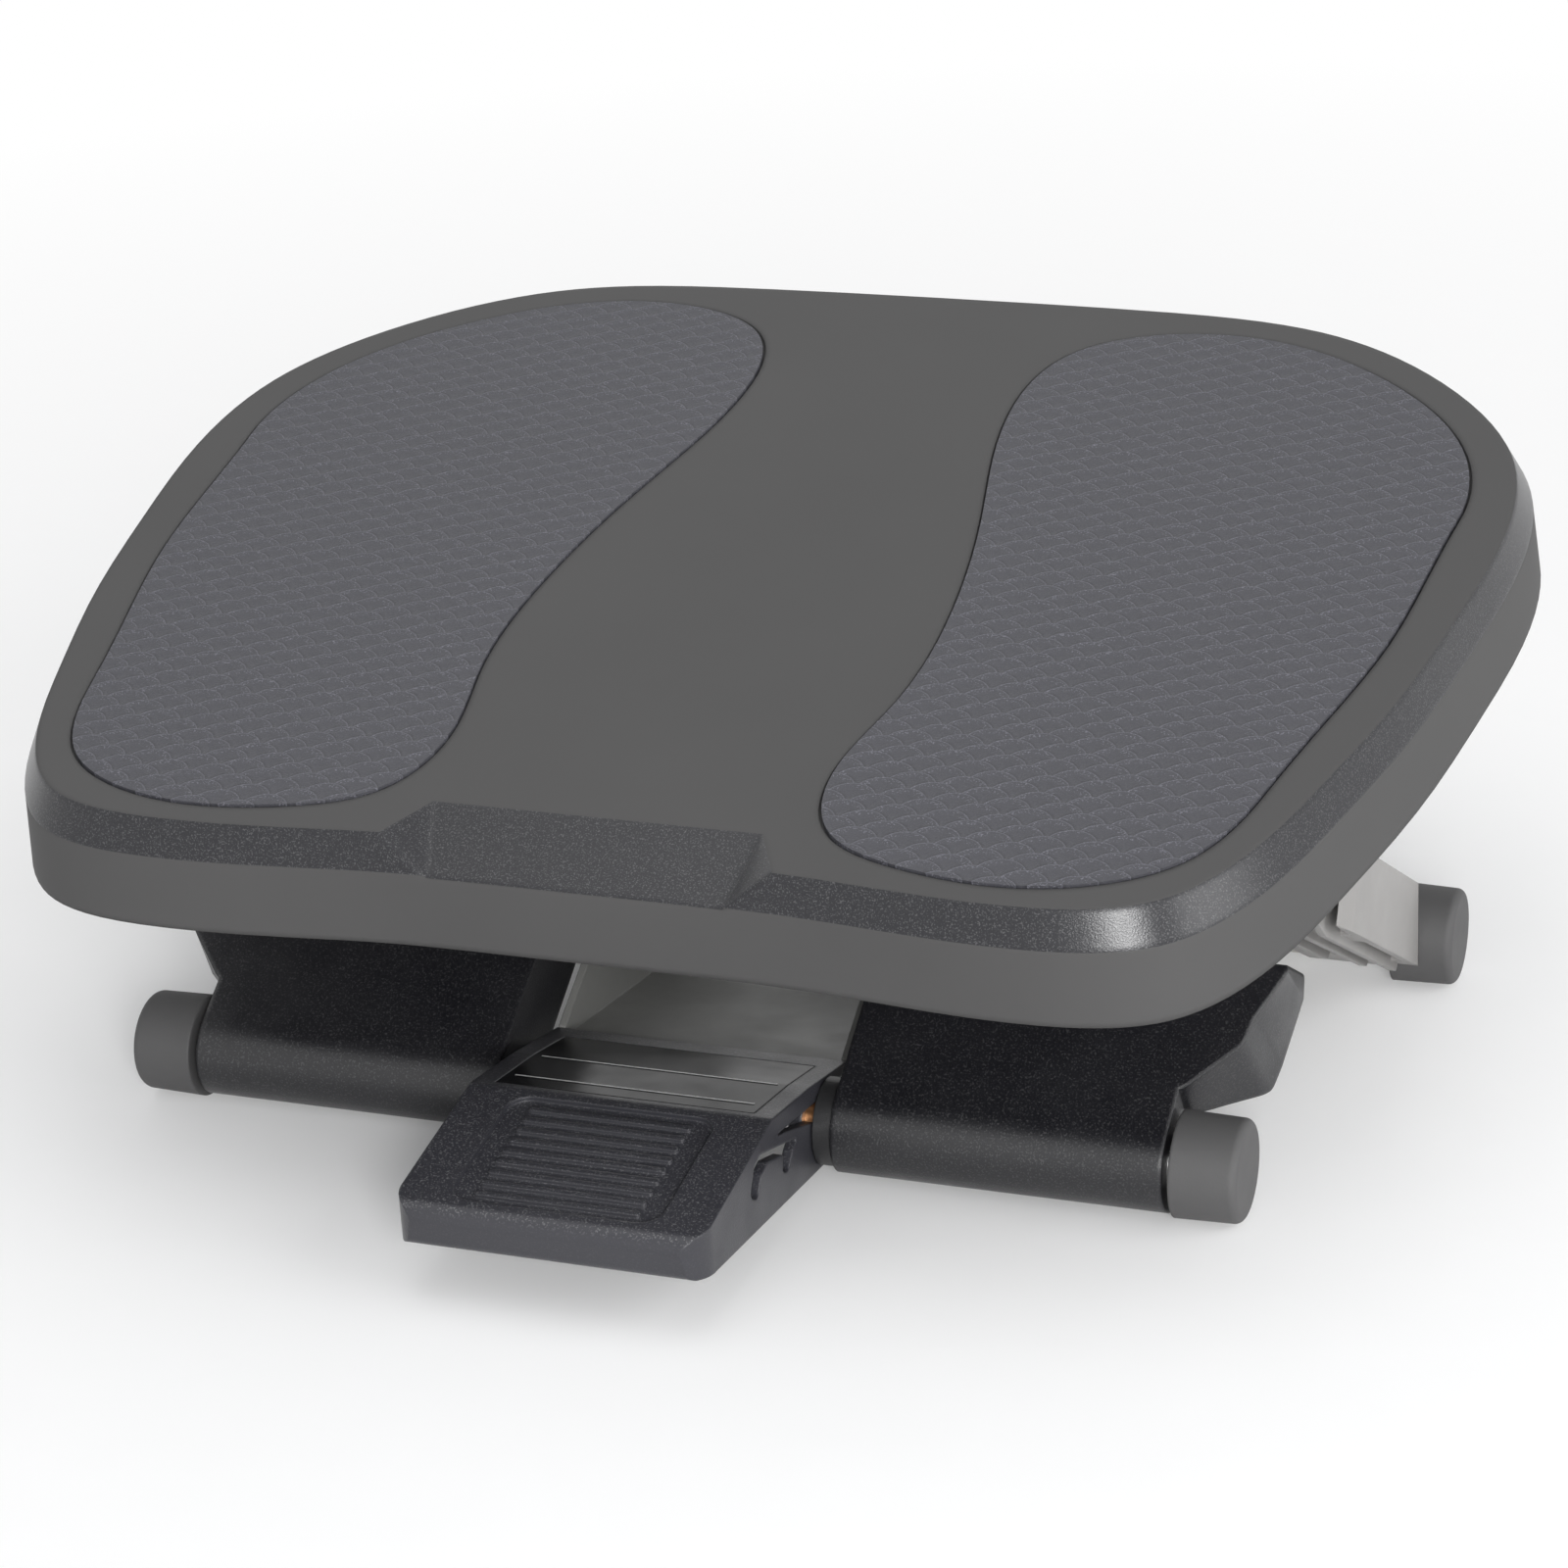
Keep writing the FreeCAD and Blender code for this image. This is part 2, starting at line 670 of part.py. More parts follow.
def friction_washers():
    rings = []
    for side in (-1, 1):
        for edge in (bearing_x - bearing_width / 2 - washer_thick - face_gap,
                     bearing_x + bearing_width / 2 + face_gap):
            x0 = edge if side > 0 else -edge - washer_thick
            rings.append(tube_x(x0, x0 + washer_thick, cross_y, top_z, tilt_axle_radius + 4,
                                tilt_axle_radius + run_clear))
    return Part.Compound(rings)


def axle_tube(reach, y):
    return tube_x(-reach, reach, y, axle_z, axle_tube_radius, axle_tube_radius - axle_tube_wall)


def pivot_pins():
    pins = []
    for side in (-1, 1):
        shank = rod_x(front_arm_inner_x - face_gap, rear_rib_x[1] - 2, cross_y, cross_z,
                      pivot_pin_radius)
        head = rod_x(front_arm_inner_x - face_gap - 2.5, front_arm_inner_x - face_gap, cross_y,
                     cross_z, pivot_pin_head)
        pin = joined([shank, head])
        pins.append(pin if side > 0 else mirror(pin))
    return Part.Compound(pins)


def pivot_spacers():
    rings = []
    for side in (-1, 1):
        ring = tube_x(arm_outer_x + face_gap, rear_leg_inner_x, cross_y, cross_z, pivot_pin_head,
                      pivot_pin_radius + run_clear)
        rings.append(ring if side > 0 else mirror(ring))
    return Part.Compound(rings)


def hinge_rod():
    reach = arm_outer_x
    rod = rod_x(-reach, reach, hinge_y, top_z, rod_radius)
    heads = [rod_x(-reach - 2, -reach, hinge_y, top_z, rod_radius + 2),
             rod_x(reach, reach + 2, hinge_y, top_z, rod_radius + 2)]
    return joined([rod] + heads)


def slide_rod():
    reach = rear_tip_x
    rod = rod_x(-reach, reach, slide_y, top_z, rod_radius)
    heads = [rod_x(-reach - 2, -reach, slide_y, top_z, rod_radius + 2),
             rod_x(reach, reach + 2, slide_y, top_z, rod_radius + 2)]
    return joined([rod] + heads)


def slide_rollers():
    rollers = []
    for side in (-1, 1):
        roller = tube_x(rail_inner_x, rail_outer_x, slide_y, top_z, roller_radius,
                        rod_radius + run_clear)
        rollers.append(roller if side > 0 else mirror(roller))
    return Part.Compound(rollers)


def axle_collars():
    rings = []
    for side in (-1, 1):
        ring = tube_x(pedal_half_width + face_gap, front_leg_inner_x, 0, axle_z, collar_radius,
                      axle_tube_radius + run_clear)
        rings.append(ring if side > 0 else mirror(ring))
    return Part.Compound(rings)


def pedal_profile(inset, top_inset):
    """Side outline of the pedal, drawn in by the wall at the front and by the plate on top."""
    return ((pedal_front_y + 1.5 + inset, pedal_front_low_z - (eps if inset else 0)),
            (pedal_front_y + inset, pedal_front_top_z - top_inset),
            (pedal_crest_y, pedal_crest_z - top_inset),
            (pedal_bend_y, pedal_bend_z - top_inset),
            (pedal_rear_y + (eps if inset else 0), pedal_rear_z - top_inset))


def pedal_body():
    top = pedal_profile(0, 0)
    low = ((pedal_rear_y - 0.5, pedal_rear_z - pedal_top_wall - 1), (12, 7), (0, 2.0))
    w = pedal_half_width
    return side_prism(top + low, (3, 5, 8, 30, 1, 0.5, 6, 12), -w, w)


def pedal_plan(inset):
    w = pedal_half_width - inset
    y0 = pedal_front_y + inset - 0.5
    corner = pedal_corner - inset
    corners = ((-w, y0), (w, y0), (w, pedal_rear_y + 5), (-w, pedal_rear_y + 5))
    face = rounded_face(corners, (corner, corner, 0, 0), lambda p: Vector(p.x, p.y, -5))
    return face.extrude(Vector(0, 0, 60))


def pedal_hollow():
    top = pedal_profile(pedal_wall, pedal_top_wall)
    low = ((pedal_rear_y + eps, -6), (pedal_front_y + pedal_wall + 1.5, -6))
    w = pedal_half_width - pedal_wall
    return side_prism(top + low, (0, 3, 6, 30, 0, 0, 0), -w, w).common(pedal_plan(pedal_wall))


def pedal_slope(y):
    """Height of the pedal's top at a given y, along its two straight stretches."""
    if y < pedal_crest_y:
        return pedal_front_top_z + (y - pedal_front_y) * tread_rise()
    if y < pedal_bend_y:
        return pedal_crest_z + (y - pedal_crest_y) * (pedal_bend_z - pedal_crest_z) / (
            pedal_bend_y - pedal_crest_y)
    return pedal_bend_z + (y - pedal_bend_y) * (pedal_rear_z - pedal_bend_z) / (
        pedal_rear_y - pedal_bend_y)


def tread_rise():
    return (pedal_crest_z - pedal_front_top_z) / (pedal_crest_y - pedal_front_y)


def tread_slab(half, y0, y1, corner, low, high):
    """Rounded slab lying on the pedal's tread slope, between two lifts off it."""
    slope = math.atan(tread_rise())
    centre = Vector(0, (y0 + y1) / 2, pedal_slope((y0 + y1) / 2))
    reach = (y1 - y0) / 2
    corners = ((-half, -reach), (half, -reach), (half, reach), (-half, reach))
    face = rounded_face(corners, (corner,) * 4, lambda p: Vector(p.x, p.y, low))
    slab = face.extrude(Vector(0, 0, high - low))
    slab.Placement = Placement(centre, Rotation(Vector(1, 0, 0), math.degrees(slope)))
    return slab


def tread_rib_bars():
    bars = []
    pitch = (tread_rear_y - tread_front_y - 10) / (tread_ribs - 1)
    for i in range(tread_ribs):
        y = tread_front_y + 5 + i * pitch
        bars.append(tread_slab(tread_half - 7, y - 1.1, y + 1.1, 1.0, -tread_depth - 0.3,
                               -tread_depth + tread_rib_height))
    return bars


def side_openings():
    """Openings in both side walls: a gap that widens to the rear, and a track with two hooks."""
    x0 = pedal_half_width - pedal_wall - 0.1
    x1 = pedal_half_width + eps
    gap = side_prism(side_gap_roof + side_gap_floor, side_gap_radii, x0, x1)
    track = side_prism(hook_track_outline, hook_track_radii, x0, x1)
    right = gap.fuse(track)
    return right.fuse(mirror(right))


def pedal_shell():
    shell = pedal_body().common(pedal_plan(0))
    shell = shell.cut(pedal_hollow())
    hubs = []
    for side in (-1, 1):
        hub = rod_x(hub_inner_x, pedal_half_width, 0, axle_z, hub_radius)
        hubs.append(hub if side > 0 else mirror(hub))
    hubs = joined(hubs).common(pedal_body())
    shell = joined([shell, hubs, spring_lugs()])
    shell = shell.cut(rod_x(-lug_x - lug_width - eps, lug_x + lug_width + eps, spring_rod_y,
                            spring_rod_z, spring_rod_radius + run_clear))
    for x in (-rivet_x, rivet_x):
        foot, up = rivet_axis(x)
        shell = shell.cut(Part.makeCylinder(rivet_radius + run_clear, 1.45, foot - up * 0.01, up))
    shell = shell.cut(side_openings())
    bore = rod_x(hub_inner_x - eps, pedal_half_width + eps, 0, axle_z, bush_radius + run_clear)
    shell = shell.cut(bore).cut(mirror(bore))
    shell = shell.cut(tread_slab(tread_half, tread_front_y, tread_rear_y, 7, -tread_depth, 4))
    shell = joined([shell] + tread_rib_bars())
    return shell.cut(label_slab(label_half, label_front_y, label_rear_y, label_thick))


def label_slab(half, y0, y1, thick):
    """Plate that follows the pedal's top behind the crest."""
    points = []
    for y in (y0, pedal_bend_y, y1):
        points.append((y, pedal_slope(y) + 0.01))
    for y in (y1, pedal_bend_y, y0):
        points.append((y, pedal_slope(y) - thick))
    return side_prism(points, (0,) * 6, -half, half)


def label_plate():
    return label_slab(label_half - 0.2, label_front_y + 0.2, label_rear_y - 0.2, label_thick)


def pedal_bushes():
    rings = []
    for side in (-1, 1):
        ring = tube_x(hub_inner_x, pedal_half_width, 0, axle_z, bush_radius,
                      axle_tube_radius + run_clear)
        rings.append(ring if side > 0 else mirror(ring))
    return Part.Compound(rings)


def return_springs():
    """Two torsion springs wound round the axle tube inside the pedal."""
    coils = []
    radius = axle_tube_radius + 0.6 + spring_wire
    for side in (-1, 1):
        height = spring_turns * spring_pitch
        helix = Part.makeHelix(spring_pitch, height, radius)
        circle = Part.Wire(Part.makeCircle(spring_wire, Vector(radius, 0, 0), Vector(0, 1, 0)))
        coil = Part.Wire(helix).makePipeShell([circle], True, True)
        coil.rotate(Vector(0, 0, 0), Vector(0, 1, 0), 90)
        coil.translate(Vector(lug_x - height - 6, 0, axle_z))
        coils.append(coil if side > 0 else mirror(coil))
    return Part.Compound(coils)


def axle_travel():
    """Distance that the feet come together as the stand rises from rest to full height."""
    raised = math.radians(leg_incline + lift_range)
    return axle_gap - 2 * cross_run * math.cos(raised)


def pedal_under(y):
    return pedal_slope(y) - pedal_top_wall


def latch_tray():
    """Tray behind the pedal: its tongue is riveted under the pedal, its rack hooks the rear axle."""
    w = tray_half_width
    rack_front = axle_gap - axle_travel() - axle_tube_radius - 1.5
    rack_rear = axle_gap + axle_tube_radius + 0.6
    rack_top = axle_z + axle_tube_radius + slot_clear
    floor_end = rack_front - 2
    join_y = pedal_rear_y + 0.4
    floor = side_prism(((tray_tongue_y, pedal_under(tray_tongue_y)), (join_y, pedal_under(join_y)),
                        (tray_level_y, tray_level_z), (floor_end, tray_level_z),
                        (floor_end, tray_level_z - tray_floor),
                        (tray_level_y, tray_level_z - tray_floor),
                        (join_y, pedal_under(join_y) - tray_floor),
                        (tray_tongue_y, pedal_under(tray_tongue_y) - tray_floor)),
                       (0, 0, 40, 0, 0, 40, 0, 0), -w + tray_wall - 0.2, w - tray_wall + 0.2)
    shoulder = box(-w, w, -5, join_y, 0, 60)
    tongue_half = pedal_half_width - pedal_wall - 0.3
    narrow = box(-tongue_half, tongue_half, -5, join_y, 0, 60)
    floor = floor.cut(shoulder.cut(narrow))
    outline = ((join_y, pedal_rear_z), (tray_side_rise_y, tray_side_top),
               (axle_gap, tray_side_top), (tray_rear_y, tray_side_top - 8),
               (tray_rear_y, tray_rear_z), (rack_rear, tray_rear_z), (rack_rear, rack_top),
               (rack_front, rack_top), (rack_front, tray_level_z - tray_floor),
               (tray_level_y, tray_level_z - tray_floor), (join_y, pedal_under(join_y) - tray_floor))
    radii = (1, 12, 20, 8, 4, 2, 4, 4, 3, 40, 1)
    side = side_prism(outline, radii, w - tray_wall, w)
    side = side.cut(rack_notches(rack_top, w))
    body = joined([floor, side, mirror(side)])
    for x in (-rivet_x, rivet_x):
        body = body.cut(rivet_hole(x))
    return body


def rack_notches(rack_top, w):
    """Round notches above the rear axle, one for each height of the stand."""
    pitch = axle_travel() / (rack_teeth - 1)
    cuts = []
    for i in range(rack_teeth):
        y = axle_gap - i * pitch
        cuts.append(rod_x(w - tray_wall - eps, w + eps, y, axle_z + slot_clear + 1.5,
                          axle_tube_radius + 0.6))
    return joined(cuts)


def rivet_axis(x):
    y = (tray_tongue_y + pedal_rear_y) / 2 + 0.6
    slope = math.atan((pedal_rear_z - pedal_bend_z) / (pedal_rear_y - pedal_bend_y))
    return Vector(x, y, pedal_under(y)), Vector(0, -math.sin(slope), math.cos(slope))


def rivet_hole(x):
    foot, up = rivet_axis(x)
    return Part.makeCylinder(rivet_radius + run_clear, 2 * pedal_top_wall, foot - up * 4, up)


def tray_rivets():
    rivets = []
    for x in (-rivet_x, rivet_x):
        foot, up = rivet_axis(x)
        seat = foot - up * tray_floor
        shank = Part.makeCylinder(rivet_radius, tray_floor + 1.4, seat, up)
        head = Part.makeCylinder(rivet_head_radius, rivet_head_height,
                                 seat - up * rivet_head_height, up)
        rivets.append(joined([shank, head]))
    return Part.Compound(rivets)


def spring_rod():
    """Rod that the return springs push up, held in two lugs under the pedal's top."""
    reach = lug_x + lug_width
    return rod_x(-reach, reach, spring_rod_y, spring_rod_z, spring_rod_radius)


def spring_lugs():
    d = spring_rod_radius + 2.0
    lugs = []
    for x0 in (-lug_x - lug_width, lug_x):
        lugs.append(side_prism(((spring_rod_y - d, spring_rod_z - d), (spring_rod_y + d, spring_rod_z - d),
                                (spring_rod_y + d, pedal_under(spring_rod_y + d) + 0.5),
                                (spring_rod_y - d, pedal_under(spring_rod_y - d) + 0.5)),
                               (d * 0.9, d * 0.5, 0, 0), x0, x0 + lug_width))
    return joined(lugs)


def rear_spacers():
    """Sleeves that keep the latch tray in the middle of the rear axle."""
    rings = []
    for side in (-1, 1):
        ring = tube_x(tray_half_width + face_gap, rear_leg_inner_x, axle_gap, axle_z,
                      axle_tube_radius + 2.5, axle_tube_radius + run_clear)
        rings.append(ring if side > 0 else mirror(ring))
    return Part.Compound(rings)


def build():
    leg_front = front_leg()
    leg_rear = rear_leg()
    front_cap = foot_cap(front_cap_x, front_foot_reach, 0)
    rear_cap = foot_cap(rear_cap_x, rear_foot_reach, axle_gap)
    bearing = tilt_bearing(1)
    return {
        "deck_shell": deck_shell(),
        "left_foot_mat": foot_mat(-1),
        "right_foot_mat": foot_mat(1),
        "left_tilt_bearing": tilt_bearing(-1),
        "right_tilt_bearing": bearing,
        "bearing_screws": bearing_screws(),
        "cradle_frame": cradle_frame(),
        "tilt_axle": tilt_axle(),
        "tilt_friction_washers": friction_washers(),
        "left_front_leg": mirror(leg_front),
        "right_front_leg": leg_front,
        "front_axle_tube": axle_tube(front_foot_reach - foot_cap_wall - face_gap, 0),
        "left_front_foot_cap": mirror(front_cap),
        "right_front_foot_cap": front_cap,
        "axle_collars": axle_collars(),
        "top_hinge_rod": hinge_rod(),
        "left_rear_leg": mirror(leg_rear),
        "right_rear_leg": leg_rear,
        "rear_axle_tube": axle_tube(rear_foot_reach - foot_cap_wall - face_gap, axle_gap),
        "left_rear_foot_cap": mirror(rear_cap),
        "right_rear_foot_cap": rear_cap,
        "rear_spacer_sleeves": rear_spacers(),
        "scissor_pivot_pins": pivot_pins(),
        "pivot_spacers": pivot_spacers(),
        "slide_rod": slide_rod(),
        "slide_rollers": slide_rollers(),
        "latch_tray": latch_tray(),
        "tray_rivets": tray_rivets(),
        "spring_rod": spring_rod(),
        "pedal_bushes": pedal_bushes(),
        "pedal_shell": pedal_shell(),
        "pedal_label_plate": label_plate(),
        "pedal_return_springs": return_springs(),
    }


def centre_on_floor(parts):
    """Move every part along Y, so that the origin is under the middle of the bounding box."""
    bounds = FreeCAD.BoundBox()
    for shape in parts.values():
        bounds.add(shape.BoundBox)
    shift = Vector(0, -(bounds.YMin + bounds.YMax) / 2, 0)
    for shape in parts.values():
        shape.translate(shift)
    return shift.y


def main():
    os.makedirs("parts", exist_ok=True)
    parts = build()
    shift = centre_on_floor(parts)
    print("moved along Y by", round(shift, 3))
    for label, y, z in (("rear axle", axle_gap, axle_z), ("crossing", cross_y, cross_z),
                        ("top hinge", hinge_y, top_z), ("tilt axle", cross_y, top_z),
                        ("front axle", 0, axle_z)):
        print(label, "at y", round(y + shift, 3), "z", round(z, 3))
    for name, shape in parts.items():
        if not shape.isValid():
            print("not valid:", name)
        shape.exportStep("parts/" + name + ".step")


main()
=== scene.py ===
import json
import math

import bpy
from mathutils import Matrix, Vector


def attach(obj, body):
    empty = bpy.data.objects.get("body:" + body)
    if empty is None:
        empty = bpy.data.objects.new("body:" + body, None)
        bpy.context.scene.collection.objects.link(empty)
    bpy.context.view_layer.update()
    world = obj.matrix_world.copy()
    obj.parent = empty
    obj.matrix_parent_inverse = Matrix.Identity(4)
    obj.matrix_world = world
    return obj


# Tilting under desk footrest: finishes, the two lines of the pedal's label, studio and camera.
# Lengths are metres, and grains and drifts are in cells per metre.

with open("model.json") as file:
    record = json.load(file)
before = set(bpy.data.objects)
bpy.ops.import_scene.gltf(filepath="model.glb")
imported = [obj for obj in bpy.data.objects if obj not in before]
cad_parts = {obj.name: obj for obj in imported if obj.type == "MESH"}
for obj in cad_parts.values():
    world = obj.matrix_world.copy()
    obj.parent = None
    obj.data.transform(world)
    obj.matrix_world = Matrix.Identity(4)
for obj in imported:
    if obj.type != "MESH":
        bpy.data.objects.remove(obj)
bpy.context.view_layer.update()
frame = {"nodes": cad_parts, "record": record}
nodes = frame["nodes"]

deck_pitch = math.radians(8.25)
sharp_angle = math.radians(32)

tube_places = [v.co.y for v in nodes["front_axle_tube"].data.vertices]
front_axle_y = (min(tube_places) + max(tube_places)) / 2


def scaled(colour, share):
    return [min(1.0, c * share) for c in colour]


def lightened(colour, step):
    return [min(1.0, c + step) for c in colour]


def new_material(name):
    mat = bpy.data.materials.new(name)
    mat.use_nodes = True
    tree = mat.node_tree
    bsdf = tree.nodes["Principled BSDF"]
    return mat, tree, bsdf


def add(tree, kind, **values):
    node = tree.nodes.new(kind)
    for key, value in values.items():
        setattr(node, key, value)
    return node


def calc(tree, operation, *values):
    """Arithmetic on numbers and on the outputs of other nodes."""
    node = add(tree, "ShaderNodeMath", operation=operation)
    for socket, value in zip(node.inputs, values):
        if isinstance(value, (int, float)):
            socket.default_value = value
        else:
            tree.links.new(value, socket)
    return node.outputs[0]


def ramp(tree, value, reach, result):
    """A value that goes from one result to the other over its reach, and stays there outside it."""
    node = add(tree, "ShaderNodeMapRange")
    node.inputs["From Min"].default_value = reach[0]
    node.inputs["From Max"].default_value = reach[1]
    node.inputs["To Min"].default_value = result[0]
    node.inputs["To Max"].default_value = result[1]
    tree.links.new(value, node.inputs["Value"])
    return node.outputs["Result"]


def colour_mix(tree, factor, first, second):
    """Mix of two colours, each a red, green and blue triple or the output of another node."""
    node = add(tree, "ShaderNodeMix", data_type="RGBA")
    tree.links.new(factor, node.inputs["Factor"])
    for name, colour in (("A", first), ("B", second)):
        if isinstance(colour, (tuple, list)):
            node.inputs[name].default_value = (*colour, 1)
        else:
            tree.links.new(colour, node.inputs[name])
    return node.outputs["Result"]


def shader_mix(tree, factor, first, second):
    node = add(tree, "ShaderNodeMixShader")
    tree.links.new(factor, node.inputs[0])
    tree.links.new(first, node.inputs[1])
    tree.links.new(second, node.inputs[2])
    return node.outputs["Shader"]


def noise(tree, scale, detail=2.0, stretch=(1, 1, 1)):
    """Noise on the object's own coordinates."""
    coords = add(tree, "ShaderNodeTexCoord")
    mapping = add(tree, "ShaderNodeMapping")
    mapping.inputs["Scale"].default_value = stretch
    tree.links.new(coords.outputs["Object"], mapping.inputs["Vector"])
    tex = add(tree, "ShaderNodeTexNoise")
    tex.inputs["Scale"].default_value = scale
    tex.inputs["Detail"].default_value = detail
    tree.links.new(mapping.outputs["Vector"], tex.inputs["Vector"])
    return tex.outputs["Fac"]


def own_axes(tree, kind):
    """X, Y and Z of the object's own coordinates (Object) or of its surface normal (Normal)."""
    coords = add(tree, "ShaderNodeTexCoord")
    split = add(tree, "ShaderNodeSeparateXYZ")
    tree.links.new(coords.outputs[kind], split.inputs["Vector"])
    return split.outputs


def drifting(tree, colour, scale, share):
    """The colour with a slow drift of tone, darker and lighter by the share."""
    drift = ramp(tree, noise(tree, scale, 3.0), (0.35, 0.65), (0, 1))
    return colour_mix(tree, drift, scaled(colour, 1 - share), scaled(colour, 1 + share))


def bump(tree, bsdf, height, depth, strength=1.0, edge=0.0):
    """Relief from a height value; edge rounds the sharp edges of the piece by that radius."""
    node = add(tree, "ShaderNodeBump")
    node.inputs["Strength"].default_value = strength
    node.inputs["Distance"].default_value = depth
    tree.links.new(height, node.inputs["Height"])
    if edge > 0:
        rounded = add(tree, "ShaderNodeBevel", samples=6)
        rounded.inputs["Radius"].default_value = edge
        tree.links.new(rounded.outputs["Normal"], node.inputs["Normal"])
    tree.links.new(node.outputs["Normal"], bsdf.inputs["Normal"])


def grained_plastic(name, colour, rough, grain, depth, glint_lift=0.0, edge=0.0006, specular=0.5,
                    fewer_glints_on_walls=False):
    """Moulded plastic, rubber or paint with a fine grain, slight tone drift and light flecks painted as
    glints of the grain.
    """
    glint_reach = (0.56, 0.66)
    wall_to_top = (0.5, 0.85)
    wall_glint_share = 0.12
    mat, tree, bsdf = new_material(name)
    body = drifting(tree, colour, 9.0, 0.08)
    fine = noise(tree, grain)
    # Painted glints: light flecks stand in for the grain's sparkle; on request they are kept mostly to
    # upward faces, where the light falls.
    if glint_lift > 0:
        glint_spots = ramp(tree, fine, glint_reach, (0, 1))
        if fewer_glints_on_walls:
            upward = own_axes(tree, "Normal")["Z"]
            glint_spots = calc(tree, "MULTIPLY", glint_spots, ramp(tree, upward, wall_to_top, (wall_glint_share, 1)))
        body = colour_mix(tree, glint_spots, body, lightened(colour, glint_lift))
    tree.links.new(body, bsdf.inputs["Base Color"])
    wear = noise(tree, 60.0, 4.0)
    dull = ramp(tree, wear, (0.3, 0.7), (rough - 0.05, rough + 0.07))
    tree.links.new(dull, bsdf.inputs["Roughness"])
    bsdf.inputs["Specular IOR Level"].default_value = specular
    bump(tree, bsdf, fine, depth, edge=edge)
    return mat


def brushed_metal(name, colour, rough):
    """Turned or drawn metal with fine lines."""
    mat, tree, bsdf = new_material(name)
    lines = noise(tree, 900.0, stretch=(0.05, 1, 1))
    tree.links.new(colour_mix(tree, lines, scaled(colour, 0.85), colour), bsdf.inputs["Base Color"])
    dull = ramp(tree, lines, (0.3, 0.7), (rough - 0.08, rough + 0.1))
    tree.links.new(dull, bsdf.inputs["Roughness"])
    bsdf.inputs["Metallic"].default_value = 1.0
    bump(tree, bsdf, lines, 0.0002, strength=0.15)
    return mat


def deck_plastic(name, flat, shaded_slope_colour):
    """Satin top and walls, with glossier and grainier slopes, the chamfer and the heel scoop, whose
    darker colour is painted shade.
    """
    wall_end = (0.16, 0.30)
    top_start = (0.90, 0.97)
    flat_rough = 0.72
    sloped_rough = 0.28
    glint_lift = 0.06
    grain_depth = 0.00006
    flat_grain = 0.25
    edge = 0.003
    mat, tree, bsdf = new_material(name)
    coords = add(tree, "ShaderNodeTexCoord")
    facing = add(tree, "ShaderNodeVectorMath", operation="DOT_PRODUCT")
    facing.inputs[1].default_value = (0, -math.sin(deck_pitch), math.cos(deck_pitch))
    tree.links.new(coords.outputs["Normal"], facing.inputs[0])
    # Painted shade: the chamfer and heel scoop, picked by the way they face, get a darker colour than
    # the top and walls.
    past_wall = ramp(tree, facing.outputs["Value"], wall_end, (0, 1))
    before_top = ramp(tree, facing.outputs["Value"], top_start, (1, 0))
    slope = calc(tree, "MULTIPLY", past_wall, before_top)
    fine = noise(tree, 2100.0)
    # Painted glints: light flecks on the slopes stand in for the grain's sparkle.
    glint_spots = ramp(tree, fine, (0.54, 0.68), (0, 1))
    flat_tone = drifting(tree, flat, 11.0, 0.04)
    # Painted shade: the slopes' darker colour.
    shaded_slope_tone = colour_mix(tree, glint_spots, shaded_slope_colour, lightened(shaded_slope_colour, glint_lift))
    tree.links.new(colour_mix(tree, slope, flat_tone, shaded_slope_tone), bsdf.inputs["Base Color"])
    tree.links.new(ramp(tree, slope, (0, 1), (flat_rough, sloped_rough)), bsdf.inputs["Roughness"])
    bsdf.inputs["Specular IOR Level"].default_value = 0.5
    grain = calc(tree, "MULTIPLY", fine, ramp(tree, slope, (0, 1), (flat_grain, 1.0)))
    bump(tree, bsdf, grain, grain_depth, edge=edge)
    return mat


